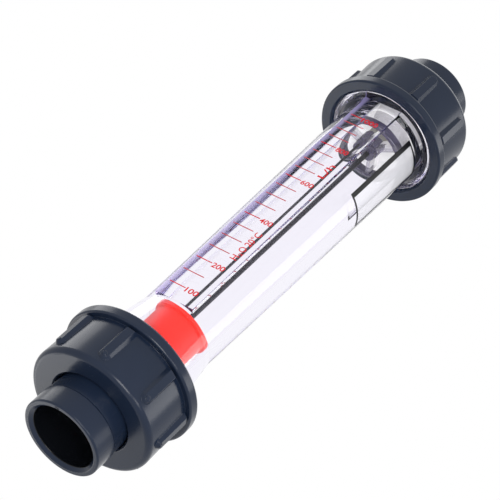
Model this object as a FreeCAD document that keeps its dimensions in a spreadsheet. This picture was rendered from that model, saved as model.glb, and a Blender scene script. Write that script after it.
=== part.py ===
"""Rotameter: a clear tapered tube with a float on a guide rod, between two union nuts.

Millimetres. The meter stands on its inlet end: +Z is the flow direction, z = 0 is the
mouth of the inlet tail, and the flat land that carries the scale faces -Y.
"""
import FreeCAD, Part
import Sketcher
import math
import os

DOC = FreeCAD.newDocument("Rotameter")
X_AXIS = FreeCAD.Vector(1, 0, 0)
Z_AXIS = FreeCAD.Vector(0, 0, 1)
HALF_TURN = 180.0
FULL_TURN = 360.0
HEX_SIDES = 6

DRIVING_SIZES = {
    # tails: plain sockets for a 32 mm pipe, with the collar that the nut pulls on
    "socket_radius": 16.1,
    "socket_depth": 22.0,
    "socket_lead_in": 1.6,
    "tail_radius": 20.0,
    "tail_band_length": 11.0,
    "tail_neck_radius": 19.5,
    "tail_length": 32.0,
    "tail_bore_radius": 14.0,
    "tail_mouth_round": 0.8,
    "collar_radius": 25.8,
    "collar_thickness": 6.0,
    # seals: rings in a groove of each tail's face
    "seal_ring_radius": 21.5,
    "seal_section_radius": 1.5,
    "seal_side_clearance": 0.1,
    # union nuts
    "nut_hole_clearance": 0.3,
    "nut_nose_thickness": 7.0,
    "nut_length": 31.0,
    "nut_wall": 3.5,
    "nut_nose_swell": 0.7,
    "nut_nose_round": 2.6,
    "nut_flange_height": 3.0,
    "nut_flange_thickness": 5.4,
    "nut_flange_round": 1.0,
    "nut_collar_clearance": 0.6,
    "nut_relief_length": 5.0,
    "nut_mouth_chamfer": 1.2,
    "nut_edge_chamfer": 0.7,
    "rib_count": 8,
    "rib_half_width": 4.5,
    "rib_height": 2.1,
    "rib_root": 2.1,
    "rib_nose_gap": 2.5,
    "rib_draft": 31.0,
    "pip_radius": 1.1,
    "pip_height": 0.35,
    "pip_nose_gap": 6.4,
    "inlet_nut_turn": 8.6,
    "outlet_nut_turn": 20.0,
    # measuring tube
    "tube_length": 232.0,
    "thread_radius": 28.0,
    "thread_clearance": 0.3,
    "thread_lead_in": 2.5,
    "thread_end": 16.5,
    "tube_step_radius": 25.0,
    "tube_step_length": 4.0,
    "flare_radius": 24.4,
    "flare_end_radius": 20.9,
    "flare_end": 45.0,
    "flare_edge_step": 0.6,
    "tube_top_radius": 23.0,
    "tube_top_run": 21.0,
    "bore_inlet_radius": 15.0,
    "bore_outlet_radius": 16.6,
    # scale land and its print
    "land_half_width": 10.2,
    "land_start": 47.0,
    "land_top_gap": 16.0,
    "land_low_distance": 20.2,
    "land_high_distance": 22.2,
    "print_thickness": 0.1,
    "mark_first": 56.0,
    "scale_top_gap": 15.5,
    "mark_step_loss": 0.1146,
    "mark_count": 19,
    "mark_width": 0.5,
    "mark_left": 9.0,
    "mark_long": 11.2,
    "mark_short": 8.6,
    # blank label
    "label_top_gap": 22.0,
    "label_length": 50.0,
    "label_thickness": 0.2,
    "label_arc": 50.0,
    "label_angle": -34.0,
    # rod, its holders and its fasteners
    "rod_radius": 1.3,
    "rod_lower_tip": 5.0,
    "rod_upper_tip": 2.0,
    "rod_tip_chamfer": 0.3,
    "rod_fit_clearance": 0.05,
    "holder_thickness": 7.0,
    "lower_seat_radius": 17.5,
    "upper_seat_radius": 17.2,
    "upper_end_gap": 6.0,
    "upper_ring_height": 13.0,
    "holder_clearance": 0.15,
    "holder_ring_width": 2.4,
    "holder_hub_radius": 4.4,
    "holder_arm_half_width": 1.2,
    "holder_arm_count": 3,
    "lower_bumper_length": 3.0,
    "upper_bumper_length": 2.5,
    "bumper_radius": 4.0,
    "sleeve_radius": 3.2,
    "sleeve_length": 9.0,
    "bush_wall": 1.9,
    "bush_end_gap": 0.3,
    "castle_nut_radius": 4.8,
    "castle_nut_height": 5.0,
    "castle_slot_depth": 2.4,
    "castle_slot_width": 1.3,
    "castle_slot_count": 6,
    "hex_nut_flats": 7.0,
    "hex_nut_height": 3.0,
    "nut_bevel": 0.5,
    # float
    "float_length": 39.0,
    "float_disc_radius": 13.8,
    "float_disc_thickness": 3.0,
    "float_disc_round": 0.5,
    "float_body_radius": 12.5,
    "float_nose_radius": 5.0,
    "float_nose_length": 9.0,
    "float_rod_clearance": 0.25,
}


class Size:
    """A length or an angle: its value, and the sheet formula that gives it."""

    def __init__(self, value, formula):
        self.value = value
        self.formula = formula

    @staticmethod
    def of(number):
        if isinstance(number, Size):
            return number
        return Size(float(number), repr(float(number)))

    def join(self, sign, other, value):
        return Size(value, f"({self.formula} {sign} {other.formula})")

    def __add__(self, other):
        other = Size.of(other)
        return self.join("+", other, self.value + other.value)

    def __sub__(self, other):
        other = Size.of(other)
        return self.join("-", other, self.value - other.value)

    def __mul__(self, other):
        other = Size.of(other)
        return self.join("*", other, self.value * other.value)

    def __truediv__(self, other):
        other = Size.of(other)
        return self.join("/", other, self.value / other.value)


class Sizes:
    """The spreadsheet of driving sizes; each alias is an attribute of this object."""

    def __init__(self, driving):
        self.sheet = DOC.addObject("Spreadsheet::Sheet", "Sizes")
        for row, (alias, number) in enumerate(driving.items(), start=1):
            self.sheet.set(f"A{row}", alias)
            self.sheet.set(f"B{row}", str(number))
            self.sheet.setAlias(f"B{row}", alias)
        DOC.recompute()

    def __getattr__(self, alias):
        return Size(float(self.sheet.get(alias)), f"Sizes.{alias}")


D = Sizes(DRIVING_SIZES)
ZERO = Size.of(0)

# where pieces meet, worked out once from the driving sizes
TUBE_SEAT = D.tail_length
OVERALL_LENGTH = D.tube_length + D.tail_length * 2
COLLAR_FRONT = D.tail_length - D.collar_thickness
NUT_SEAT = COLLAR_FRONT - D.nut_nose_thickness
NUT_HOLE_RADIUS = D.tail_radius + D.nut_hole_clearance
NUT_THREAD_RADIUS = D.thread_radius + D.thread_clearance
NUT_FLANGE_START = D.nut_length - D.nut_flange_thickness
NUT_BODY_RADIUS = NUT_THREAD_RADIUS + D.nut_wall
NUT_FLANGE_RADIUS = NUT_BODY_RADIUS + D.nut_flange_height
NUT_NOSE_RADIUS = NUT_BODY_RADIUS + D.nut_nose_swell
ROD_HOLE_RADIUS = D.rod_radius + D.rod_fit_clearance
TUBE_TAPER_TOP = D.tube_length - D.tube_top_run
ROD_TOP_RUN = D.holder_thickness + D.sleeve_length + D.castle_nut_height + D.rod_upper_tip
UPPER_SEAT = D.tube_length - D.upper_end_gap - ROD_TOP_RUN
LAND_END = D.tube_length - D.land_top_gap
FLOAT_REST = TUBE_SEAT + D.holder_thickness + D.lower_bumper_length

# graduations: the step shrinks upwards, and the last one stays below the land's end
LAST_MARK = D.mark_count - 1
SCALE_SPAN = LAND_END - D.scale_top_gap - D.mark_first
MARK_STEP = (SCALE_SPAN + D.mark_step_loss * LAST_MARK * LAST_MARK) / LAST_MARK
NUMBERED_MARKS = (0, 2, 6, 10, 14, 18)  # those with a figure beside them, so drawn shorter


def bind(target, path, size):
    """Tie one property to the sheet."""
    target.setExpression(path, size.formula)


def origin_plane(body, role):
    """The body's own origin plane or axis with this role."""
    for feature in body.Origin.OriginFeatures:
        if feature.Role == role:
            return feature
    raise RuntimeError(f"{body.Name} has no {role}")


def new_body(name):
    body = DOC.addObject("PartDesign::Body", name)
    body.Label = name
    return body


def new_sketch(body, name, role, offset=None):
    """A sketch on an origin plane, moved along the plane's normal by offset."""
    sketch = body.newObject("Sketcher::SketchObject", name)
    sketch.AttachmentSupport = [(origin_plane(body, role), "")]
    sketch.MapMode = "FlatFace"
    if offset is not None:
        sketch.AttachmentOffset = FreeCAD.Placement(Z_AXIS * offset.value, FreeCAD.Rotation())
        bind(sketch, "AttachmentOffset.Base.z", offset)
    return sketch


def set_coordinate(sketch, kind, edge, size, side=1):
    """Hold the start point of an edge at this distance from the sketch's own axis."""
    if size is ZERO:
        sketch.addConstraint(pinned_to_axis(kind, edge))
        return
    ends = (-1, 1, edge, 1) if side > 0 else (edge, 1, -1, 1)
    number = sketch.addConstraint(Sketcher.Constraint(kind, *ends, size.value))
    bind(sketch, f"Constraints[{number}]", size)


def pinned_to_axis(kind, edge):
    """A point with a zero coordinate lies on the vertical or the horizontal axis."""
    axis = -2 if kind == "DistanceX" else -1
    return Sketcher.Constraint("PointOnObject", edge, 1, axis)


def polygon(sketch, corners, side=1):
    """A closed outline through corners; side -1 puts it on the negative side of the Y axis."""
    points = [FreeCAD.Vector(side * across.value, up.value, 0) for across, up in corners]
    count = len(points)
    for index in range(count):
        line = Part.LineSegment(points[index], points[(index + 1) % count])
        sketch.addGeometry(line, False)
    for index in range(count):
        following = (index + 1) % count
        sketch.addConstraint(Sketcher.Constraint("Coincident", index, 2, following, 1))
    for index, (across, up) in enumerate(corners):
        set_coordinate(sketch, "DistanceX", index, across, side)
        set_coordinate(sketch, "DistanceY", index, up)
    return sketch


def turned(body, name, corners, kind="PartDesign::Revolution", angle=None):
    """Turn an outline, given as radius and height, about the body's Z axis."""
    sketch = polygon(new_sketch(body, f"{name}_outline", "XZ_Plane"), corners)
    feature = body.newObject(kind, name)
    feature.Profile = sketch
    feature.ReferenceAxis = (sketch, ["V_Axis"])
    feature.Angle = FULL_TURN if angle is None else angle.value
    if angle is not None:
        bind(feature, "Angle", angle)
    return feature


def extruded(body, name, sketch, length, kind="PartDesign::Pad", midplane=False):
    feature = body.newObject(kind, name)
    feature.Profile = sketch
    feature.Length = length.value
    feature.SideType = "Symmetric" if midplane else "One side"
    bind(feature, "Length", length)
    return feature


def repeated(body, name, feature, count):
    """Repeat a feature evenly about the body's Z axis."""
    pattern = body.newObject("PartDesign::PolarPattern", name)
    pattern.Originals = [feature]
    pattern.Axis = (origin_plane(body, "Z_Axis"), [""])
    pattern.Angle = FULL_TURN
    pattern.Occurrences = int(count.value)
    bind(pattern, "Occurrences", count)
    body.Tip = pattern
    return pattern


def round_edges(body, name, base, rings, radius):
    """Round the circular edges of base that lie on the given (radius, height) rings."""
    DOC.recompute()
    wanted = []
    for number, edge in enumerate(base.Shape.Edges, start=1):
        if not isinstance(edge.Curve, Part.Circle):
            continue
        centre = edge.Curve.Center
        for ring_radius, height in rings:
            same_radius = math.isclose(edge.Curve.Radius, ring_radius.value, abs_tol=1e-4)
            if same_radius and math.isclose(centre.z, height.value, abs_tol=1e-4):
                wanted.append(f"Edge{number}")
    fillet = body.newObject("PartDesign::Fillet", name)
    fillet.Base = (base, wanted)
    fillet.Radius = radius.value
    bind(fillet, "Radius", radius)
    return fillet


def place(piece, height, turn=0.0, flipped=False):
    """Stand a piece at a height; a flipped one points down from there."""
    rotation = FreeCAD.Rotation(Z_AXIS, turn)
    if flipped:
        rotation = FreeCAD.Rotation(X_AXIS, HALF_TURN) * rotation
    piece.Placement = FreeCAD.Placement(Z_AXIS * height.value, rotation)
    bind(piece, "Placement.Base.z", height)
    return piece


def tail(name):
    """A pipe socket with the collar that the union nut pulls against the tube."""
    body = new_body(name)
    groove_outer = D.seal_ring_radius + D.seal_section_radius + D.seal_side_clearance
    groove_inner = D.seal_ring_radius - D.seal_section_radius - D.seal_side_clearance
    groove_floor = D.tail_length - D.seal_section_radius * 2
    solid = turned(body, f"{name}_section", [
        (D.socket_radius + D.socket_lead_in, ZERO),
        (D.tail_radius, ZERO),
        (D.tail_radius, D.tail_band_length),
        (D.tail_neck_radius, D.tail_band_length + (D.tail_radius - D.tail_neck_radius)),
        (D.tail_neck_radius, COLLAR_FRONT),
        (D.collar_radius, COLLAR_FRONT),
        (D.collar_radius, D.tail_length),
        (groove_outer, D.tail_length),
        (groove_outer, groove_floor),
        (groove_inner, groove_floor),
        (groove_inner, D.tail_length),
        (D.tail_bore_radius, D.tail_length),
        (D.tail_bore_radius, D.socket_depth),
        (D.socket_radius, D.socket_depth),
        (D.socket_radius, D.socket_lead_in),
    ])
    round_edges(body, f"{name}_mouth", solid, [(D.tail_radius, ZERO)], D.tail_mouth_round)
    return body


def seal(name):
    """The O-ring that fills a tail's face groove."""
    ring = DOC.addObject("Part::Torus", name)
    ring.Label = name
    bind(ring, "Radius1", D.seal_ring_radius)
    bind(ring, "Radius2", D.seal_section_radius)
    return ring


def rib_sketch(body, name):
    """A rib seen from outside: straight sides, a round nose, and an end inside the flange."""
    radius = NUT_BODY_RADIUS - D.rib_root
    sketch = new_sketch(body, name, "XZ_Plane", radius)
    half = D.rib_half_width
    centre = D.rib_nose_gap + half
    end = NUT_FLANGE_START + D.nut_flange_round
    w, c, e = half.value, centre.value, end.value
    arc = Part.ArcOfCircle(Part.Circle(FreeCAD.Vector(0, c, 0), Z_AXIS, w), math.pi, 2 * math.pi)
    sketch.addGeometry(arc, False)
    corners = [(w, c), (w, e), (-w, e), (-w, c)]
    for start, stop in zip(corners, corners[1:]):
        line = Part.LineSegment(FreeCAD.Vector(*start, 0), FreeCAD.Vector(*stop, 0))
        sketch.addGeometry(line, False)
    for rule in (("Tangent", 0, 2, 1, 1), ("Coincident", 1, 2, 2, 1), ("Coincident", 2, 2, 3, 1),
                 ("Tangent", 3, 2, 0, 1), ("Vertical", 1), ("Vertical", 3), ("Horizontal", 2),
                 ("PointOnObject", 0, 3, -2)):
        sketch.addConstraint(Sketcher.Constraint(*rule))
    for size, rule in ((half, ("Radius", 0, w)), (centre, ("DistanceY", -1, 1, 0, 3, c)),
                       (end, ("DistanceY", -1, 1, 2, 1, e))):
        number = sketch.addConstraint(Sketcher.Constraint(*rule))
        bind(sketch, f"Constraints[{number}]", size)
    return sketch


def union_nut(name, with_pips):
    """A moulded nut: flange, body, raised ribs with draft, and a bore for the tube's thread."""
    body = new_body(name)
    relief_radius = D.collar_radius + D.nut_collar_clearance
    thread_start = D.nut_nose_thickness + D.nut_relief_length
    shell = turned(body, f"{name}_section", [
        (NUT_HOLE_RADIUS + D.nut_edge_chamfer, ZERO),
        (NUT_NOSE_RADIUS, ZERO),
        (NUT_BODY_RADIUS, NUT_FLANGE_START),
        (NUT_FLANGE_RADIUS, NUT_FLANGE_START),
        (NUT_FLANGE_RADIUS, D.nut_length),
        (NUT_THREAD_RADIUS + D.nut_mouth_chamfer, D.nut_length),
        (NUT_THREAD_RADIUS, D.nut_length - D.nut_mouth_chamfer),
        (NUT_THREAD_RADIUS, thread_start),
        (relief_radius, thread_start),
        (relief_radius, D.nut_nose_thickness),
        (NUT_HOLE_RADIUS, D.nut_nose_thickness),
        (NUT_HOLE_RADIUS, D.nut_edge_chamfer),
    ])
    nose = round_edges(body, f"{name}_nose", shell, [(NUT_NOSE_RADIUS, ZERO)], D.nut_nose_round)
    flange_rings = [(NUT_FLANGE_RADIUS, NUT_FLANGE_START), (NUT_FLANGE_RADIUS, D.nut_length)]
    round_edges(body, f"{name}_flange", nose, flange_rings, D.nut_flange_round)
    outline = rib_sketch(body, f"{name}_rib_outline")
    rib = extruded(body, f"{name}_rib", outline, D.rib_root + D.rib_height)
    rib.TaperAngle = -D.rib_draft.value
    bind(rib, "TaperAngle", ZERO - D.rib_draft)
    repeated(body, f"{name}_ribs", rib, D.rib_count)
    if with_pips:
        add_pips(body, name)
    return body


def add_pips(body, name):
    """Small round pips, one at the nose end of every rib."""
    centre = D.pip_nose_gap
    sketch = new_sketch(body, f"{name}_pip_outline", "XZ_Plane", NUT_BODY_RADIUS)
    disc = Part.Circle(FreeCAD.Vector(0, centre.value, 0), Z_AXIS, D.pip_radius.value)
    sketch.addGeometry(disc, False)
    sketch.addConstraint(Sketcher.Constraint("PointOnObject", 0, 3, -2))
    height = sketch.addConstraint(Sketcher.Constraint("DistanceY", -1, 1, 0, 3, centre.value))
    bind(sketch, f"Constraints[{height}]", centre)
    radius = sketch.addConstraint(Sketcher.Constraint("Radius", 0, D.pip_radius.value))
    bind(sketch, f"Constraints[{radius}]", D.pip_radius)
    pip = extruded(body, f"{name}_pip", sketch, D.rib_height + D.pip_height)
    repeated(body, f"{name}_pips", pip, D.rib_count)


def measuring_tube(name):
    """The clear moulding: a threaded collar at each end and a tapered barrel with a flat land."""
    body = new_body(name)
    length = D.tube_length
    turned(body, f"{name}_outside", [
        (ZERO, ZERO),
        (D.thread_radius - D.thread_lead_in, ZERO),
        (D.thread_radius, D.thread_lead_in),
        (D.thread_radius, D.thread_end),
        (D.flare_radius, D.thread_end),
        (D.flare_end_radius, D.flare_end),
        (D.flare_end_radius - D.flare_edge_step, D.flare_end),
        (D.tube_top_radius, TUBE_TAPER_TOP),
        (D.tube_step_radius, TUBE_TAPER_TOP + (D.tube_step_radius - D.tube_top_radius)),
        (D.tube_step_radius, length - D.thread_end),
        (D.thread_radius, length - D.thread_end),
        (D.thread_radius, length - D.thread_lead_in),
        (D.thread_radius - D.thread_lead_in, length),
        (ZERO, length),
    ])
    land = polygon(new_sketch(body, f"{name}_land_side", "YZ_Plane"), [
        (D.bore_inlet_radius, D.land_start),
        (D.land_low_distance, D.land_start),
        (D.land_high_distance, LAND_END),
        (D.bore_inlet_radius, LAND_END),
    ], side=-1)
    extruded(body, f"{name}_land", land, D.land_half_width * 2, midplane=True)
    spare = polygon(new_sketch(body, f"{name}_spare_side", "YZ_Plane"), [
        (D.land_low_distance, D.land_start),
        (D.thread_radius, D.land_start),
        (D.thread_radius, LAND_END),
        (D.land_high_distance, LAND_END),
    ], side=-1)
    extruded(body, f"{name}_land_face", spare, D.land_half_width * 2, "PartDesign::Pocket", True)
    turned(body, f"{name}_bore", [
        (ZERO, ZERO),
        (D.lower_seat_radius, ZERO),
        (D.lower_seat_radius, D.holder_thickness),
        (D.bore_inlet_radius, D.holder_thickness),
        (D.bore_inlet_radius, D.flare_end),
        (D.bore_outlet_radius, UPPER_SEAT),
        (D.upper_seat_radius, UPPER_SEAT),
        (D.upper_seat_radius, length),
        (ZERO, length),
    ], "PartDesign::Groove")
    return body


def tube_radius_at(height):
    """Outer radius of the barrel at a height above the tube's inlet face."""
    low = D.flare_end_radius - D.flare_edge_step
    share = (height - D.flare_end) / (TUBE_TAPER_TOP - D.flare_end)
    return low + (D.tube_top_radius - low) * share


def label(name):
    """A blank film that follows the barrel near the outlet."""
    body = new_body(name)
    end = D.tube_length - D.label_top_gap
    start = end - D.label_length
    turned(body, f"{name}_film", [
        (tube_radius_at(start), start),
        (tube_radius_at(start) + D.label_thickness, start),
        (tube_radius_at(end) + D.label_thickness, end),
        (tube_radius_at(end), end),
    ], angle=D.label_arc)
    return body


def scale_marks(name):
    """The printed graduations: thin bars on the sloping land, closer together upwards."""
    rise = LAND_END.value - D.land_start.value
    gain = D.land_high_distance.value - D.land_low_distance.value
    lean = math.degrees(math.atan2(gain, rise))
    bars = []
    for number in range(int(D.mark_count.value)):
        height = D.mark_first + MARK_STEP * number - D.mark_step_loss * number ** 2
        length = D.mark_short if number in NUMBERED_MARKS else D.mark_long
        bar = Part.makeBox(length.value, D.print_thickness.value, D.mark_width.value)
        bar.translate(FreeCAD.Vector(0, -D.print_thickness.value, -D.mark_width.value / 2))
        bar.rotate(FreeCAD.Vector(0, 0, 0), X_AXIS, lean)
        face = D.land_low_distance.value + gain * (height.value - D.land_start.value) / rise
        bar.translate(FreeCAD.Vector(-D.mark_left.value, -face, height.value))
        bars.append(bar)
    marks = DOC.addObject("Part::Feature", name)
    marks.Label = name
    marks.Shape = Part.makeCompound(bars)
    return marks


def rod_holder(name, seat_radius, ring_height):
    """A ring in the bore, with arms to a hub that carries the guide rod."""
    body = new_body(name)
    ring_outer = seat_radius - D.holder_clearance
    ring_inner = ring_outer - D.holder_ring_width
    arm = polygon(new_sketch(body, f"{name}_arm_outline", "YZ_Plane"), [
        (ZERO, ZERO),
        (ring_outer - D.holder_ring_width / 2, ZERO),
        (ring_outer - D.holder_ring_width / 2, D.holder_thickness),
        (ZERO, D.holder_thickness),
    ])
    first = extruded(body, f"{name}_arm", arm, D.holder_arm_half_width * 2, midplane=True)
    repeated(body, f"{name}_arms", first, D.holder_arm_count)
    turned(body, f"{name}_ring", [
        (ring_inner, ZERO),
        (ring_outer, ZERO),
        (ring_outer, ring_height),
        (ring_inner, ring_height),
    ])
    turned(body, f"{name}_hub", [
        (ZERO, ZERO),
        (D.holder_hub_radius, ZERO),
        (D.holder_hub_radius, D.holder_thickness),
        (ZERO, D.holder_thickness),
    ])
    turned(body, f"{name}_rod_hole", [
        (ZERO, ZERO),
        (ROD_HOLE_RADIUS, ZERO),
        (ROD_HOLE_RADIUS, D.holder_thickness),
        (ZERO, D.holder_thickness),
    ], "PartDesign::Groove")
    return body


def collar_ring(name, radius, length):
    """A plain ring that slides over the guide rod."""
    body = new_body(name)
    turned(body, f"{name}_section", [
        (ROD_HOLE_RADIUS, ZERO),
        (radius, ZERO),
        (radius, length),
        (ROD_HOLE_RADIUS, length),
    ])
    return body


def retaining_bush(name):
    """A pale bush in the outlet end of the bore that keeps the upper holder on its seat."""
    body = new_body(name)
    outer = D.upper_seat_radius - D.holder_clearance
    length = D.tube_length - UPPER_SEAT - D.upper_ring_height - D.bush_end_gap
    turned(body, f"{name}_section", [
        (outer - D.bush_wall, ZERO),
        (outer, ZERO),
        (outer, length),
        (outer - D.bush_wall, length),
    ])
    return body


def castle_nut(name):
    """The slotted nut that holds the rod at the outlet end."""
    body = new_body(name)
    turned(body, f"{name}_section", [
        (ROD_HOLE_RADIUS, ZERO),
        (D.castle_nut_radius, ZERO),
        (D.castle_nut_radius, D.castle_nut_height - D.nut_bevel),
        (D.castle_nut_radius - D.nut_bevel, D.castle_nut_height),
        (ROD_HOLE_RADIUS, D.castle_nut_height),
    ])
    slot = polygon(new_sketch(body, f"{name}_slot_outline", "YZ_Plane"), [
        (ROD_HOLE_RADIUS, D.castle_nut_height - D.castle_slot_depth),
        (D.castle_nut_radius + D.nut_bevel, D.castle_nut_height - D.castle_slot_depth),
        (D.castle_nut_radius + D.nut_bevel, D.castle_nut_height),
        (ROD_HOLE_RADIUS, D.castle_nut_height),
    ])
    cut = extruded(body, f"{name}_slot", slot, D.castle_slot_width, "PartDesign::Pocket", True)
    repeated(body, f"{name}_slots", cut, D.castle_slot_count)
    return body


def hexagon(sketch, flats):
    """A regular hexagon about the sketch's origin, held by the distance across its flats."""
    sides = range(HEX_SIDES)
    corner = flats.value / 2 / math.cos(math.pi / HEX_SIDES)
    turns = [2 * math.pi * side / HEX_SIDES for side in sides]
    points = [FreeCAD.Vector(corner * math.cos(t), corner * math.sin(t), 0) for t in turns]
    for side in sides:
        following = points[(side + 1) % HEX_SIDES]
        sketch.addGeometry(Part.LineSegment(points[side], following), False)
    guide = sketch.addGeometry(Part.Circle(FreeCAD.Vector(0, 0, 0), Z_AXIS, corner), True)
    sketch.addConstraint(Sketcher.Constraint("Coincident", guide, 3, -1, 1))
    for side in sides:
        following = (side + 1) % HEX_SIDES
        sketch.addConstraint(Sketcher.Constraint("Coincident", side, 2, following, 1))
        sketch.addConstraint(Sketcher.Constraint("PointOnObject", side, 1, guide))
        if side:
            sketch.addConstraint(Sketcher.Constraint("Equal", 0, side))
    sketch.addConstraint(Sketcher.Constraint("PointOnObject", 0, 1, -1))
    facing = HEX_SIDES // 2  # a corner of this side lies across the flats from side 0
    width = sketch.addConstraint(Sketcher.Constraint("Distance", facing, 1, 0, flats.value))
    bind(sketch, f"Constraints[{width}]", flats)
    return sketch


def hex_nut(name):
    """The plain hexagon nut that holds the rod at the inlet end."""
    body = new_body(name)
    sketch = hexagon(new_sketch(body, f"{name}_outline", "XY_Plane"), D.hex_nut_flats)
    extruded(body, f"{name}_prism", sketch, D.hex_nut_height)
    turned(body, f"{name}_hole", [
        (ZERO, ZERO),
        (ROD_HOLE_RADIUS, ZERO),
        (ROD_HOLE_RADIUS, D.hex_nut_height),
        (ZERO, D.hex_nut_height),
    ], "PartDesign::Groove")
    return body


def guide_rod(name):
    """The rod that the float slides on, with chamfered tips."""
    body = new_body(name)
    length = D.rod_lower_tip + UPPER_SEAT + ROD_TOP_RUN
    turned(body, f"{name}_section", [
        (ZERO, ZERO),
        (D.rod_radius - D.rod_tip_chamfer, ZERO),
        (D.rod_radius, D.rod_tip_chamfer),
        (D.rod_radius, length - D.rod_tip_chamfer),
        (D.rod_radius - D.rod_tip_chamfer, length),
        (ZERO, length),
    ])
    return body


def red_float(name):
    """The float: a cone-nosed plug under a wider disc whose top edge is read on the scale."""
    body = new_body(name)
    hole = D.rod_radius + D.float_rod_clearance
    disc_start = D.float_length - D.float_disc_thickness
    solid = turned(body, f"{name}_section", [
        (hole, ZERO),
        (D.float_nose_radius, ZERO),
        (D.float_body_radius, D.float_nose_length),
        (D.float_body_radius, disc_start - (D.float_disc_radius - D.float_body_radius) / 2),
        (D.float_disc_radius, disc_start),
        (D.float_disc_radius, D.float_length),
        (hole, D.float_length),
    ])
    round_edges(body, f"{name}_rim", solid, [(D.float_disc_radius, D.float_length)],
                D.float_disc_round)
    return body


def build():
    """Make every piece and stand it in its place."""
    lower_hub_top = TUBE_SEAT + D.holder_thickness
    upper_seat = TUBE_SEAT + UPPER_SEAT
    upper_hub_top = upper_seat + D.holder_thickness
    sleeve_top = upper_hub_top + D.sleeve_length
    seal_height = D.tail_length - D.seal_section_radius
    return [
        place(tail("inlet_tail"), ZERO),
        place(seal("inlet_seal"), seal_height),
        place(union_nut("inlet_union_nut", True), NUT_SEAT, D.inlet_nut_turn.value),
        place(measuring_tube("measuring_tube"), TUBE_SEAT),
        place(scale_marks("scale_marks"), TUBE_SEAT),
        place(label("blank_label"), TUBE_SEAT, D.label_angle.value),
        place(hex_nut("lower_rod_nut"), TUBE_SEAT - D.hex_nut_height),
        place(rod_holder("lower_rod_holder", D.lower_seat_radius, D.holder_thickness), TUBE_SEAT),
        place(collar_ring("lower_bumper", D.bumper_radius, D.lower_bumper_length), lower_hub_top),
        place(red_float("float"), FLOAT_REST),
        place(guide_rod("guide_rod"), TUBE_SEAT - D.rod_lower_tip),
        place(collar_ring("upper_bumper", D.bumper_radius, D.upper_bumper_length),
              upper_seat - D.upper_bumper_length),
        place(rod_holder("upper_rod_holder", D.upper_seat_radius, D.upper_ring_height),
              upper_seat),
        place(retaining_bush("retaining_bush"), upper_seat + D.upper_ring_height),
        place(collar_ring("spacer_sleeve", D.sleeve_radius, D.sleeve_length), upper_hub_top),
        place(castle_nut("upper_rod_nut"), sleeve_top),
        place(tail("outlet_tail"), OVERALL_LENGTH, flipped=True),
        place(seal("outlet_seal"), OVERALL_LENGTH - seal_height, flipped=True),
        place(union_nut("outlet_union_nut", False), OVERALL_LENGTH - NUT_SEAT,
              D.outlet_nut_turn.value, flipped=True),
    ]


def check(pieces):
    """Stop if any object of the document failed, or any piece is empty or not valid."""
    DOC.recompute()
    for item in DOC.Objects:
        if "Invalid" in item.State or "Error" in item.State:
            raise RuntimeError(f"{item.Name} is {item.State}")
    for piece in pieces:
        if piece.Shape.isNull() or not piece.Shape.isValid():
            raise RuntimeError(f"{piece.Label} has no valid shape")
        print(f"{piece.Label}: {len(piece.Shape.Solids)} solid, {piece.Shape.Volume:.1f} mm3")


def export(pieces):
    os.makedirs("parts", exist_ok=True)
    for piece in pieces:
        piece.Shape.exportStep(os.path.join("parts", f"{piece.Label}.step"))


ALL_PIECES = build()
check(ALL_PIECES)
export(ALL_PIECES)
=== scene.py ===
"""Looks for the rotameter: a clear measuring tube with a red float, between two union nuts."""
import math

import bpy
from mathutils import Matrix, Vector


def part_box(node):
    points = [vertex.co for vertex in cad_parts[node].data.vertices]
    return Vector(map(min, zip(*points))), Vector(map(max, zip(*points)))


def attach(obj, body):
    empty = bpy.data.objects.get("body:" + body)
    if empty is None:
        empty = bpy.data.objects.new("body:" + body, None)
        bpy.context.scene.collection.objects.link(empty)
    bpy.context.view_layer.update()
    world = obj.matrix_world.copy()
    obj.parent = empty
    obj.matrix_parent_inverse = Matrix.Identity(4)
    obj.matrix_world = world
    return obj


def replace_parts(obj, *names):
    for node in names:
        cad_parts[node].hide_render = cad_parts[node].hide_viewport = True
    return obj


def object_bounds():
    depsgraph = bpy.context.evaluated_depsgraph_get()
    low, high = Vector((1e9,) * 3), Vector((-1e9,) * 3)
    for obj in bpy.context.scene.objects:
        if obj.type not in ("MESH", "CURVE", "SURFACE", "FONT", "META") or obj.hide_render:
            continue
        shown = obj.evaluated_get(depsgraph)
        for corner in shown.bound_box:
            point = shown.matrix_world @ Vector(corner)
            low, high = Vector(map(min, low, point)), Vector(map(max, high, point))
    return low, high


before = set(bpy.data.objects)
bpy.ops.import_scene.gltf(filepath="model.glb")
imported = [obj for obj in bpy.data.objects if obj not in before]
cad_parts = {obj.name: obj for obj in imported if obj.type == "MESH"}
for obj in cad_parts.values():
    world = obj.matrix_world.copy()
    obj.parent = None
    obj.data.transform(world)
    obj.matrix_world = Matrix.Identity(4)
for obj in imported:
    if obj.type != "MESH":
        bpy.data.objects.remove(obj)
CAD_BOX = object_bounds()
MM = 0.001  # the lengths below are in millimetres until they meet this

AXIS = (0, 0, 1)
ACROSS = Vector((1, 0, 0))
TUBE_FOOT, TUBE_HEAD = (corner.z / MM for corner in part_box("measuring_tube"))

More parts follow.
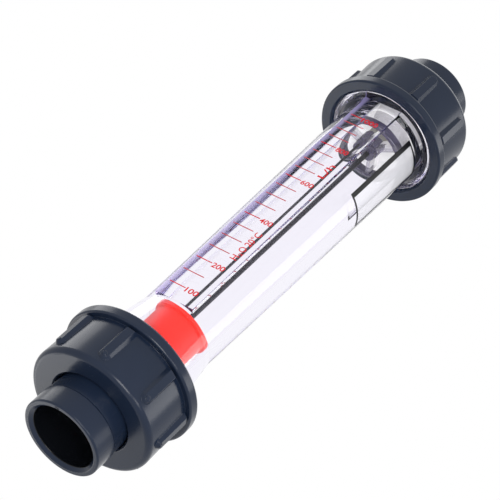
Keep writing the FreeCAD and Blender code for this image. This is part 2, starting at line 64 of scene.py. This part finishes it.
# The tube's two threaded collars, its tapered wall and its bore.
THREAD_RADIUS, THREAD_DEPTH, THREAD_PITCH, THREAD_LENGTH = 28.0, 1.7, 4.0, 16.5
CREST_SHARE, FLANK_SHARE = 0.2, 0.6  # of half a turn
LEAD_IN = 2.5
FADE_START, FADE_LENGTH = 0.8, 1.2  # the groove runs out before the shoulder
FLARE_RADIUS, FLARE_END_RADIUS, WALL_FOOT_RADIUS, FLARE_TOP = 24.4, 20.9, 20.3, TUBE_FOOT + 45
WALL_TOP_RADIUS, STEP_RADIUS = 23.0, 25.0
WALL_TOP, STEP_TOP = TUBE_HEAD - 21, TUBE_HEAD - 19
SEAT_RADIUS, SEAT_FOOT = 17.2, TUBE_HEAD - 29
BORE_TOP_RADIUS, BORE_FOOT_RADIUS = 16.6, 15.0
FOOT_SEAT_RADIUS, FOOT_SEAT_TOP = 17.5, TUBE_FOOT + 7

# The flat land that carries the scale leans back a little as it rises.
LAND_FOOT = Vector((0, -20.2, TUBE_FOOT + 47)) * MM
LAND_HEAD = Vector((0, -22.2, TUBE_HEAD - 16)) * MM
UP_LAND = (LAND_HEAD - LAND_FOOT).normalized()
OFF_LAND = ACROSS.cross(UP_LAND)
LAND_HALF = 10.2
LAND_BACK, LAND_CLEARANCE = -3.0, 9.0
PAINTED_VIOLET_START, PAINTED_VIOLET_BLEND = -7.3, 1.6  # painted light: the violet on the land's edge, across from the axis, stands in for light carried along inside the clear wall

# Print on the land: each figure beside the graduation of this number.
FIGURES = ((0, 100), (2, 200), (6, 400), (10, 600), (14, 800), (18, 1000))
FIRST_MARK, FIRST_STEP, STEP_LOSS = TUBE_FOOT + 56, 10.0906, 0.1146
INK = 0.05
FIGURES_END, DIGIT_WIDTH, DIGIT_HEIGHT, DIGIT_DROP = 6.7, 2.2, 3.3, 0.5
FIGURE_BOLD, WORD_BOLD = 0.018, 0.008
WORDS = (  # name, words, middle of their height, length up the land, left, width
    ("liquid_hydrogen", "H", 116.6, 3.0, 3.6, 3.6),
    ("liquid_two", "2", 119.6, 1.8, 5.6, 2.0),
    ("liquid_oxygen", "O", 122.8, 3.4, 3.6, 3.6),
    ("temperature", "20°C", 131.0, 10.2, 3.6, 3.6),
    ("unit_of_flow", "L/h", 189.8, 11.0, 3.9, 3.3),
)

# Borders between the finishes on one piece.
# SOCKET_RADIUS bounds the painted shade inside the sockets
SOCKET_RADIUS = 16.3
HUB_RADIUS, ARM_END, HOLDER_FOOT = 4.6, 14.4, 4.0
HOLDER_LINING, BUSH_LINING, LINING_ALPHA, MILKY_ALPHA = 15.8, 16.0, 0.95, 0.27
LABEL_SIDES, LABEL_FRAME = (-27.6, 13.4), 1.0  # degrees round the tube, and a width


def mark_height(number):
    """Height of a graduation; the steps grow shorter upwards."""
    return FIRST_MARK + FIRST_STEP * number - STEP_LOSS * number ** 2


def tone(red, green, blue):
    """A colour given as it looks on a screen, 0 to 255, as linear light."""
    shares = [part / 255 for part in (red, green, blue)]
    return tuple(s / 12.92 if s <= 0.04045 else ((s + 0.055) / 1.055) ** 2.4 for s in shares)


BLACK = (0, 0, 0)
PAINTED_MILK_GLOW = tone(232, 232, 230)  # painted glow on the milky plastic, standing in for light that the clear wall carries into it


# ---------------------------------------------------------------- materials

class Wire:
    """One socket of a shader, with the arithmetic that adds Math nodes to its tree."""

    def __init__(self, finish, socket):
        self.finish = finish
        self.socket = socket

    def math(self, operation, *others):
        """A Math node on this wire and the others, in that order."""
        inputs = dict(enumerate((self, *others)))
        return self.finish.node("Math", {"operation": operation}, inputs)

    def __add__(self, other):
        return self.math("ADD", other)

    def __sub__(self, other):
        return self.math("SUBTRACT", other)

    def __rsub__(self, other):
        return (self - other) * -1

    def __mul__(self, other):
        return self.math("MULTIPLY", other)

    def __truediv__(self, other):
        return self.math("DIVIDE", other)

    def __gt__(self, other):
        return self.math("GREATER_THAN", other)

    def __lt__(self, other):
        return self.math("LESS_THAN", other)

    def within(self, least, most):
        return self.math("MAXIMUM", least).math("MINIMUM", most)

    __radd__ = __add__
    __rmul__ = __mul__


class Finish:
    """A material, or the world, that is built up from nodes."""

    def __init__(self, name, holder=None):
        self.holder = holder or bpy.data.materials.new(name)
        self.holder.use_nodes = True
        self.tree = self.holder.node_tree
        self.tree.nodes.clear()

    def node(self, kind, settings=None, inputs=None, output=0):
        """Add a node: its settings first, then each input, linked to a wire or set to a value."""
        made = self.tree.nodes.new("ShaderNode" + kind)
        for key, value in (settings or {}).items():
            setattr(made, key, value)
        for key, value in (inputs or {}).items():
            if isinstance(value, Wire):
                self.tree.links.new(value.socket, made.inputs[key])
            else:
                made.inputs[key].default_value = value
        return Wire(self, made.outputs[output]) if made.outputs else None

    def place(self):
        """Object coordinates, in metres, as three wires."""
        spot = self.node("TexCoord", output="Object")
        return [self.node("SeparateXYZ", None, {0: spot}, axis) for axis in range(3)]

    def noise(self, scale, detail=3.0, roughness=0.5, stretch=None):
        spot = self.node("TexCoord", output="Object")
        if stretch:
            spot = self.node("Mapping", None, {"Vector": spot, "Scale": stretch})
        inputs = {"Vector": spot, "Scale": scale, "Detail": detail, "Roughness": roughness}
        return self.node("TexNoise", None, inputs)

    def mix(self, factor, first, second):
        """One colour or the other, by the factor."""
        first, second = [c if isinstance(c, Wire) else (*c, 1) for c in (first, second)]
        return self.node("Mix", {"data_type": "RGBA"}, {0: factor, 6: first, 7: second}, 2)

    def most(self, *wires):
        """The largest of several wires."""
        largest = wires[0]
        for wire in wires[1:]:
            largest = largest.math("MAXIMUM", wire)
        return largest

    def bump(self, height, distance, **others):
        inputs = {"Height": height, "Distance": distance * MM, "Strength": 0.4, **others}
        return self.node("Bump", None, inputs)

    def surface(self, inputs):
        """The main shader, with plain colours given without their alpha."""
        for key in ("Base Color", "Specular Tint", "Emission Color"):
            if key in inputs and not isinstance(inputs[key], Wire):
                inputs[key] = (*inputs[key], 1)
        return self.node("BsdfPrincipled", {"distribution": "MULTI_GGX"}, inputs)

    def done(self, shader, **others):
        self.node("OutputMaterial", None, {"Surface": shader, **others})
        return self.holder


def moulded_pvc():
    """Dark slate PVC, satin from the mould, with a fine grain, faint scuffs and painted shade
    inside the sockets.
    """
    f = Finish("moulded_pvc")
    x, y, z = f.place()
    grain = f.noise(900.0, 4.0, 0.6)
    clouds = f.noise(38.0)
    scuffs = f.noise(160.0, 6.0, 0.7, (1.0, 1.0, 0.25))
    outside = f.mix(clouds, tone(22, 32, 49), tone(28, 38, 57))
    # painted shade: inside the sockets the colour is near black
    socket = (x * x + y * y) < (SOCKET_RADIUS * MM) ** 2
    rounded = f.node("Bevel", {"samples": 8}, {"Radius": 0.4 * MM})  # as a mould rounds edges
    return f.done(f.surface({
        "Base Color": f.mix(socket, outside, tone(11, 13, 17)),
        "Roughness": 0.19 + clouds * 0.06 + (scuffs > 0.66) * 0.05,
        "Normal": f.bump(grain * 0.7 + clouds * 0.3, 0.03, Normal=rounded),
        "IOR": 1.5, "Specular IOR Level": 0.24}))


def clear_acrylic():
    """Clear, faintly violet plastic, with painted violet light on the left edge of its land."""
    f = Finish("clear_acrylic")
    x, y, z = f.place()
    glass = f.surface({"Base Color": tone(252, 251, 254), "IOR": 1.49,
                       "Roughness": 0.004 + f.noise(30.0, 2.0) * 0.01,
                       "Transmission Weight": 1.0, "Specular Tint": (0.28, 0.28, 0.28)})
    up = (z - LAND_FOOT.z) / (LAND_HEAD.z - LAND_FOOT.z)
    # painted light: a violet film on the land's edge, lighter at the foot and darker at the top,
    # stands in for light carried along inside the wall
    violet = f.mix(up, tone(206, 196, 232), tone(150, 142, 190))
    film = f.surface({"Base Color": violet, "Roughness": 0.35})
    on_land = (y < -16.0 * MM) * (x > (-LAND_HALF - 0.1) * MM)
    on_land = on_land * (z > LAND_FOOT.z) * (z < LAND_HEAD.z)
    edge = ((PAINTED_VIOLET_START * MM - x) / (PAINTED_VIOLET_BLEND * MM)).within(0, 1)
    glass_and_painted_violet = f.node("MixShader", None, {0: on_land * edge * 0.8, 1: glass, 2: film})
    through = f.node("BsdfTransparent", None, {"Color": (*tone(248, 247, 252), 1)})
    shadow = f.node("LightPath", output="Is Shadow Ray")
    both = f.node("MixShader", None, {0: shadow, 1: glass_and_painted_violet, 2: through})
    tint = f.node("VolumeAbsorption", None, {"Color": (*tone(196, 184, 240), 1), "Density": 8.0})
    return f.done(both, Volume=tint)


def red_ink(f, colour, patches):
    return f.done(f.surface({"Base Color": colour, "Roughness": 0.5 + patches * 0.1,
                             "Specular IOR Level": 0.2}))


def printed_red():
    f = Finish("printed_red")
    patches = f.noise(700.0)
    return red_ink(f, f.mix(patches, tone(205, 24, 34), tone(222, 38, 46)), patches)


def printed_marks():
    """Thin brownish red graduations, with the numbered ones in full red."""
    f = Finish("printed_marks")
    x, y, z = f.place()
    numbered = f.most(*[(z - mark_height(number) * MM).math("ABSOLUTE") < 1.0 * MM
                        for number, figure in FIGURES])
    return red_ink(f, f.mix(numbered, tone(188, 78, 84), tone(206, 24, 36)), f.noise(700.0))


def float_red():
    f = Finish("float_red")
    clouds = f.noise(60.0)
    return f.done(f.surface({
        "Base Color": f.mix(clouds, tone(242, 26, 6), tone(248, 34, 12)),
        "Roughness": 0.4 + clouds * 0.08, "Specular IOR Level": 0.3,
        "Normal": f.bump(f.noise(600.0), 0.02)}))


def turned_metal(name, dark, bright, roughness):
    """Steel with fine rings from the lathe."""
    f = Finish(name)
    turned = f.noise(400.0, 4.0, 0.6, (1.0, 1.0, 12.0))
    return f.done(f.surface({"Base Color": f.mix(turned, dark, bright), "Metallic": 1.0,
                             "Roughness": roughness + turned * 0.12}))


def steel():
    return turned_metal("steel", tone(150, 150, 156), tone(188, 188, 194), 0.28)


# painted shade and painted dark reflections: the same steel coloured darker, for the guide rod
# and the upper rod nut
def dark_steel():
    return turned_metal("dark_steel", tone(58, 58, 62), tone(76, 76, 81), 0.26)


def one_sided(f, radius):
    """Alpha of a thin milky wall: its lining is dense, and the light gets through the rest."""
    x, y, z = f.place()
    lining = (x * x + y * y) < (radius * MM) ** 2
    front = 1 - f.node("NewGeometry", output="Backfacing")
    return MILKY_ALPHA + lining * front * (LINING_ALPHA - MILKY_ALPHA)


def holder_plastic():
    """Smoky plastic that a little light gets through; the upper ring is milky above its foot,
    with a painted glow.
    """
    f = Finish("holder_plastic")
    x, y, z = f.place()
    radius_squared = x * x + y * y
    clouds = f.noise(80.0)
    smoky = f.mix(clouds, tone(58, 54, 74), tone(76, 72, 94))
    outside = radius_squared > (HUB_RADIUS * MM) ** 2
    arms = outside * (radius_squared < (ARM_END * MM) ** 2)
    milky = outside * (z > (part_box("upper_rod_holder")[0].z + HOLDER_FOOT * MM))
    dark = f.mix(arms, smoky, tone(160, 158, 170))
    return f.done(f.surface({
        "Base Color": f.mix(milky, dark, tone(236, 236, 234)),
        "Roughness": 0.22 + clouds * 0.1,
        "Alpha": 0.9 - arms * 0.5 + milky * (one_sided(f, HOLDER_LINING) - 0.9),
        # painted light: the milky part glows, though it is no lamp
        "Emission Color": f.mix(milky, BLACK, PAINTED_MILK_GLOW), "Emission Strength": 0.4}))


def sleeve_plastic():
    f = Finish("sleeve_plastic")
    clouds = f.noise(90.0)
    colour = f.mix(clouds, tone(112, 110, 102), tone(136, 134, 126))
    return f.done(f.surface({"Base Color": colour, "Roughness": 0.4 + clouds * 0.1}))


def bush_plastic():
    f = Finish("bush_plastic")
    clouds = f.noise(70.0)
    colour = f.mix(clouds, tone(234, 235, 232), tone(244, 245, 242))
    return f.done(f.surface({"Base Color": colour, "Roughness": 0.45 + clouds * 0.1,
                             # painted light: the bush glows, though it is no lamp
                             "Alpha": one_sided(f, BUSH_LINING), "Emission Color": PAINTED_MILK_GLOW,
                             "Emission Strength": 0.45}))


def rubber():
    f = Finish("rubber")
    clouds = f.noise(300.0, 4.0)
    colour = f.mix(clouds, tone(20, 20, 22), tone(34, 34, 36))
    return f.done(f.surface({"Base Color": colour, "Roughness": 0.6 + clouds * 0.2}))


def label_film():
    """A see-through film with a black frame and nothing printed inside it."""
    low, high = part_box("blank_label")
    f = Finish("label_film")
    x, y, z = f.place()
    angle = y.math("ARCTAN2", x) * math.degrees(1)
    black = f.most(angle < LABEL_SIDES[0], angle > LABEL_SIDES[1],
                   z < low.z + LABEL_FRAME * MM, z > high.z - LABEL_FRAME * MM)
    return f.done(f.surface({
        "Base Color": f.mix(black, tone(232, 232, 236), tone(14, 14, 17)), "Roughness": 0.4,
        "Alpha": 0.5 + black * 0.5, "Specular IOR Level": 0.2}))


FINISHES = {
    moulded_pvc: ("inlet_tail", "outlet_tail", "inlet_union_nut", "outlet_union_nut"),
    clear_acrylic: ("measuring_tube",),
    printed_marks: ("scale_marks",),
    printed_red: (),
    float_red: ("float",),
    steel: ("lower_rod_nut",),
    dark_steel: ("guide_rod", "upper_rod_nut"),
    holder_plastic: ("lower_rod_holder", "upper_rod_holder", "lower_bumper", "upper_bumper"),
    sleeve_plastic: ("spacer_sleeve",),
    bush_plastic: ("retaining_bush",),
    rubber: ("inlet_seal", "outlet_seal"),
    label_film: ("blank_label",),
}
MATERIALS = {}
for make, nodes in FINISHES.items():
    MATERIALS[make.__name__] = make()
    for name in nodes:
        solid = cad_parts[name]
        solid.data.materials.clear()
        solid.data.materials.append(MATERIALS[make.__name__])


# ---------------------------------------------------------------- the clear tube

def deselect():
    bpy.ops.object.select_all(action="DESELECT")


def pick(piece):
    """Select this piece alone and make it active."""
    deselect()
    piece.select_set(True)
    bpy.context.view_layer.objects.active = piece


def dressed(piece, finish):
    """Give a piece its material, and let it ride on the tube."""
    piece.data.materials.clear()
    piece.data.materials.append(MATERIALS[finish])
    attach(piece, "tube")
    return piece


def spun(name, outline, steps):
    """Extrude a point along a closed outline of (radius, height) corners, in mm, and spin it."""
    deselect()
    bpy.ops.mesh.primitive_plane_add(size=MM, location=(0, 0, 0))
    piece = bpy.context.object
    piece.name = name
    pick(piece)
    bpy.ops.object.mode_set(mode="EDIT")
    bpy.ops.mesh.select_all(action="SELECT")
    bpy.ops.mesh.merge(type="CENTER")
    bpy.ops.transform.translate(value=(outline[0][0] * MM, 0, outline[0][1] * MM))
    for (r0, h0), (r1, h1) in zip(outline, outline[1:] + outline[:1]):
        step = ((r1 - r0) * MM, 0, (h1 - h0) * MM)
        bpy.ops.mesh.extrude_region_move(TRANSFORM_OT_translate={"value": step})
    bpy.ops.mesh.select_all(action="SELECT")
    bpy.ops.mesh.spin(steps=steps, angle=2 * math.pi, center=(0, 0, 0), axis=AXIS)
    bpy.ops.mesh.select_all(action="SELECT")
    bpy.ops.mesh.remove_doubles(threshold=0.001 * MM)
    bpy.ops.mesh.normals_make_consistent(inside=False)
    bpy.ops.object.mode_set(mode="OBJECT")
    return piece


def combined(piece, other, operation):
    """Join the other piece on, or cut it out, and drop it."""
    deselect()
    bpy.context.view_layer.objects.active = piece
    modifier = piece.modifiers.new("join", "BOOLEAN")
    modifier.operation = operation
    modifier.solver = "EXACT"
    modifier.object = other
    bpy.ops.object.modifier_apply(modifier=modifier.name)
    bpy.data.objects.remove(other)


def thread_profile(turn):
    """Depth of the groove, 0 at the crest to 1 at the root, over one turn."""
    from_crest = abs(turn % 1 - 0.5) * 2
    return 1 - min(1, max(0, (from_crest - CREST_SHARE) / FLANK_SHARE))


def cut_thread(piece, start, direction):
    """Move the rings of a collar in to a helical groove that runs out at the shoulder."""
    hair = 0.01
    for vertex in piece.data.vertices:
        spot = vertex.co / MM
        along = (spot.z - start) * direction
        radius = math.hypot(spot.x, spot.y)
        on_thread = 0 < along < THREAD_LENGTH - hair
        if not on_thread or radius < THREAD_RADIUS - LEAD_IN - hair:
            continue
        turn = (spot.z - start) / THREAD_PITCH - math.atan2(spot.y, spot.x) / (2 * math.pi)
        fade = min(1, max(0, (THREAD_LENGTH - FADE_START - along) / FADE_LENGTH))
        deepest = THREAD_RADIUS - THREAD_DEPTH * thread_profile(turn) * fade
        share = min(radius, deepest) / radius
        vertex.co.x *= share
        vertex.co.y *= share


def land_block(name, back, front):
    """A cube whose corners move to a wedge; back and front are distances off the land's face."""
    deselect()
    bpy.ops.mesh.primitive_cube_add(size=2, location=(0, 0, 0))
    piece = bpy.context.object
    piece.name = name
    for vertex in piece.data.vertices:
        right, aft, high = (part > 0 for part in vertex.co)
        end = LAND_HEAD if high else LAND_FOOT
        out = OFF_LAND * (back if aft else front) * MM
        side = ACROSS * (LAND_HALF * MM if right else -LAND_HALF * MM)
        spot = end + out + side
        spot.z = end.z
        vertex.co = spot
    return piece


def evenly(start, stop, count):
    return [start + (stop - start) * step / count for step in range(count + 1)]


def make_tube():
    """Spin the moulding with its bore, cut the threads, and lay the flat land across it."""
    rings, chamfer, steps_round = 56, evenly(0, LEAD_IN, 10), 180
    thread_top, thread_foot = TUBE_FOOT + THREAD_LENGTH, TUBE_HEAD - THREAD_LENGTH
    outline = [(THREAD_RADIUS - LEAD_IN + s, TUBE_FOOT + s) for s in chamfer]
    outline += [(THREAD_RADIUS, z) for z in evenly(TUBE_FOOT + LEAD_IN, thread_top, rings)[1:]]
    outline += [(FLARE_RADIUS, thread_top), (FLARE_END_RADIUS, FLARE_TOP),
                (WALL_FOOT_RADIUS, FLARE_TOP), (WALL_TOP_RADIUS, WALL_TOP),
                (STEP_RADIUS, STEP_TOP), (STEP_RADIUS, thread_foot)]
    outline += [(THREAD_RADIUS, z) for z in evenly(thread_foot, TUBE_HEAD - LEAD_IN, rings)]
    outline += [(THREAD_RADIUS - s, TUBE_HEAD - LEAD_IN + s) for s in chamfer[1:]]
    outline += [(SEAT_RADIUS, TUBE_HEAD), (SEAT_RADIUS, SEAT_FOOT), (BORE_TOP_RADIUS, SEAT_FOOT),
                (BORE_FOOT_RADIUS, FLARE_TOP), (BORE_FOOT_RADIUS, FOOT_SEAT_TOP),
                (FOOT_SEAT_RADIUS, FOOT_SEAT_TOP), (FOOT_SEAT_RADIUS, TUBE_FOOT)]
    tube = spun("measuring_tube_moulding", outline, steps_round)
    cut_thread(tube, TUBE_FOOT, 1)
    cut_thread(tube, TUBE_HEAD, -1)
    combined(tube, land_block("land_body", LAND_BACK, 0.0), "UNION")
    combined(tube, land_block("land_clearance", 0.0, LAND_CLEARANCE), "DIFFERENCE")
    pick(tube)
    bpy.ops.object.shade_smooth_by_angle(angle=math.radians(30))
    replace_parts(dressed(tube, "clear_acrylic"), "measuring_tube")


make_tube()


# ---------------------------------------------------------------- print on the land

def lettering(name, words, left, middle, width, height, along=False):
    """Words printed on the land; left and middle are the start across and the height up it."""
    deselect()
    bpy.ops.object.text_add(location=(0, 0, 0))
    text = bpy.context.object
    text.name = name
    text.data.body = words
    text.data.extrude = 0.5
    text.data.offset = WORD_BOLD if along else FIGURE_BOLD
    text.data.resolution_u = 4
    bpy.ops.object.convert(target="MESH")
    piece = bpy.context.object
    spots = [vertex.co.copy() for vertex in piece.data.vertices]
    low = Vector(map(min, zip(*spots)))
    high = Vector(map(max, zip(*spots)))
    foot = LAND_FOOT + UP_LAND * ((middle * MM - LAND_FOOT.z) / UP_LAND.z)
    for vertex, spot in zip(piece.data.vertices, spots):
        across, up, out = ((part - least) / (most - least)
                           for part, least, most in zip(spot, low, high))
        if along:
            here = UP_LAND * (across - 0.5) * height + ACROSS * (left + (1 - up) * width)
        else:
            here = ACROSS * (left + across * width) + UP_LAND * (up - 0.5) * height
        vertex.co = foot + here * MM + OFF_LAND * (INK * MM * out)
    dressed(piece, "printed_red")


for number, figure in FIGURES:
    width = DIGIT_WIDTH * len(str(figure))
    lettering(f"figure_{figure}", str(figure), FIGURES_END - width,
              mark_height(number) - DIGIT_DROP, width, DIGIT_HEIGHT)
for name, words, middle, length, left, width in WORDS:
    lettering(name, words, left, middle, width, length, along=True)


# ---------------------------------------------------------------- floor, light and camera

def studio_floor():
    """Pale from above; from below, and for the light that falls on the part, it isn't there."""
    f = Finish("studio_floor")
    pale = f.surface({"Base Color": tone(236, 236, 238), "Roughness": 0.8})
    gone = f.node("BsdfTransparent")
    seen = f.node("LightPath", output="Is Camera Ray")
    front = 1 - f.node("NewGeometry", output="Backfacing")
    return f.done(f.node("MixShader", None, {0: seen * front, 1: gone, 2: pale}))


deselect()
bpy.ops.mesh.primitive_plane_add(size=6.0, location=(0, 0, 0))
floor = bpy.context.object
floor.name = "floor"
floor.data.materials.append(studio_floor())


def lamp_object(lamp):
    """Put a lamp in the scene; it isn't seen through the clear wall."""
    held = bpy.data.objects.new(lamp.name, lamp)
    held.visible_transmission = False
    bpy.context.scene.collection.objects.link(held)
    return held


MIDDLE = (CAD_BOX[0] + CAD_BOX[1]) / 2
SOFTBOXES = (  # name, place, size and power, in metres and watts; each faces the middle
    ("front", (0.42, -0.56, -0.34), (0.34, 0.34), 3.6),
    ("left", (-0.95, -0.22, 0.92), (0.7, 0.7), 3.6),
    ("right", (1.05, 0.21, 0.97), (0.5, 0.5), 3.4),
    ("rim", (1.0, -0.42, -0.16), (0.24, 0.5), 2.2),
    ("below", (-0.85, 0.75, -0.62), (0.6, 0.6), 2.4),
)
for name, place, size, power in SOFTBOXES:
    lamp = bpy.data.lights.new(name, "AREA")
    lamp.shape = "RECTANGLE"
    lamp.size, lamp.size_y = size
    lamp.energy = power
    softbox = lamp_object(lamp)
    softbox.location = place
    softbox.rotation_mode = "QUATERNION"
    softbox.rotation_quaternion = (MIDDLE - Vector(place)).to_track_quat("-Z", "Y")
sky = bpy.data.lights.new("sky", "SUN")  # a broad light from straight above
sky.energy, sky.angle = 0.95, math.radians(60)
lamp_object(sky)


def studio_world():
    """White where it is seen, mirrored or seen through, and a little dimmer as light."""
    f = Finish("studio", bpy.data.worlds.new("studio"))
    seen = f.most(*[f.node("LightPath", output=f"Is {kind} Ray")
                    for kind in ("Camera", "Glossy", "Transmission")])
    light = f.node("Background", None, {"Color": (1, 1, 1, 1), "Strength": 0.62 + seen * 0.38})
    f.node("OutputWorld", None, {"Surface": light})
    return f.holder


bpy.context.scene.world = studio_world()
bpy.context.scene.view_settings.view_transform = "Standard"
light_paths = bpy.context.scene.cycles  # light runs a long way inside the clear wall
light_paths.max_bounces, light_paths.glossy_bounces, light_paths.transmission_bounces = 40, 30, 30

AHEAD = Vector((-0.42846, 0.66910, 0.60724)).normalized()
RIGHT = AHEAD.cross(Vector((-0.39558, -0.74312, 0.53971))).normalized()
CAMERA_PLACE = (0.39306, -0.62174, -0.42083)
camera_data = bpy.data.cameras.new("camera")
camera_data.sensor_width = 36.0
camera_data.lens = 143.964
camera = bpy.data.objects.new("camera", camera_data)
bpy.context.scene.collection.objects.link(camera)
camera.matrix_world = Matrix.Translation(CAMERA_PLACE) @ Matrix(
    (RIGHT, RIGHT.cross(AHEAD), -AHEAD)).transposed().to_4x4()
bpy.context.scene.camera = camera
